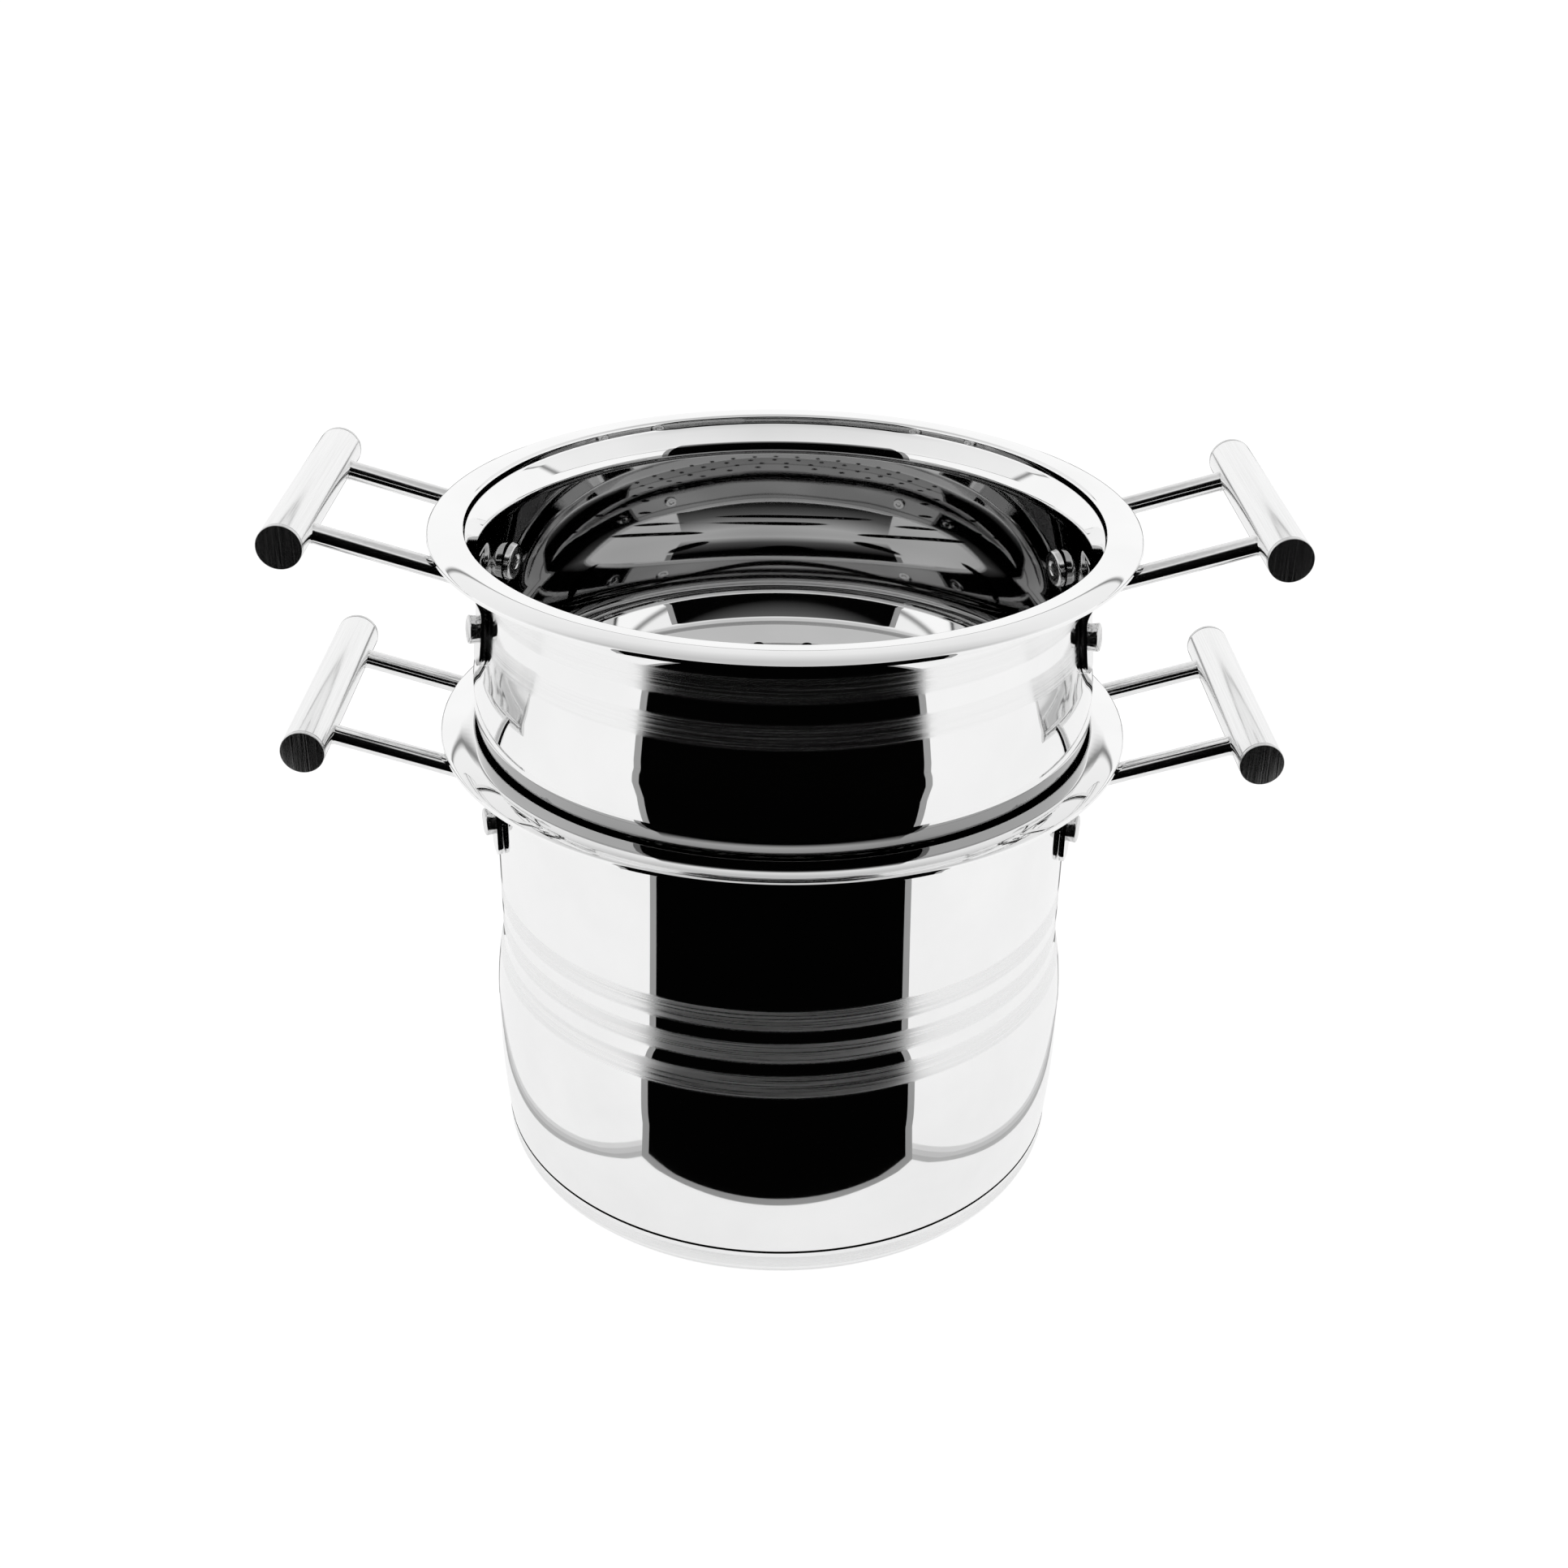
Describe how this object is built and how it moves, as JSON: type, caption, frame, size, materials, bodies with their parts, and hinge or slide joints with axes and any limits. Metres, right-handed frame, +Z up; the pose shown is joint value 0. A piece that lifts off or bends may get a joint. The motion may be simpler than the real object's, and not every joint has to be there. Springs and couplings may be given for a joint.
{
  "type": "couscous pot",
  "caption": "Couscous pot in polished stainless steel: a stew pot with a capsule base and a perforated steamer standing in its mouth, each with riveted tube handles.",
  "frame": {"origin": "centre of the flat underside of the base, on the table", "axes": "+Z up along the axis of both vessels, +X towards the right-hand handles, -Y towards the camera of the picture"},
  "size_m": [0.3728, 0.268, 0.2883],
  "materials": {
    "polished_steel": "mirror-polished stainless steel, with fine satin bands round the pot",
    "brushed_steel": "stainless steel, finely brushed, on rivets and grip ends",
    "aluminium": "plain rolled aluminium, hidden in the base"
  },
  "bodies": {
    "pot": {"pot_body": "polished_steel", "base_capsule": "polished_steel", "heat_spreader": "aluminium", "pot_right_grip": "polished_steel", "pot_right_front_cap": "brushed_steel", "pot_right_back_cap": "brushed_steel", "pot_right_front_arm": "polished_steel", "pot_right_back_arm": "polished_steel", "pot_right_front_rivet": "brushed_steel", "pot_right_back_rivet": "brushed_steel", "pot_left_grip": "polished_steel", "pot_left_front_cap": "brushed_steel", "pot_left_back_cap": "brushed_steel", "pot_left_front_arm": "polished_steel", "pot_left_back_arm": "polished_steel", "pot_left_front_rivet": "brushed_steel", "pot_left_back_rivet": "brushed_steel"},
    "steamer": {"steamer_body": "polished_steel", "steamer_right_grip": "polished_steel", "steamer_right_front_cap": "brushed_steel", "steamer_right_back_cap": "brushed_steel", "steamer_right_front_arm": "polished_steel", "steamer_right_back_arm": "polished_steel", "steamer_right_front_rivet": "brushed_steel", "steamer_right_back_rivet": "brushed_steel", "steamer_left_grip": "polished_steel", "steamer_left_front_cap": "brushed_steel", "steamer_left_back_cap": "brushed_steel", "steamer_left_front_arm": "polished_steel", "steamer_left_back_arm": "polished_steel", "steamer_left_front_rivet": "brushed_steel", "steamer_left_back_rivet": "brushed_steel"}
  },
  "joints": [
    {"name": "steamer_lift", "type": "slide", "parent": "pot", "child": "steamer", "axis": [0, 0, 1], "range_m": [0, 0.15]}
  ]
}
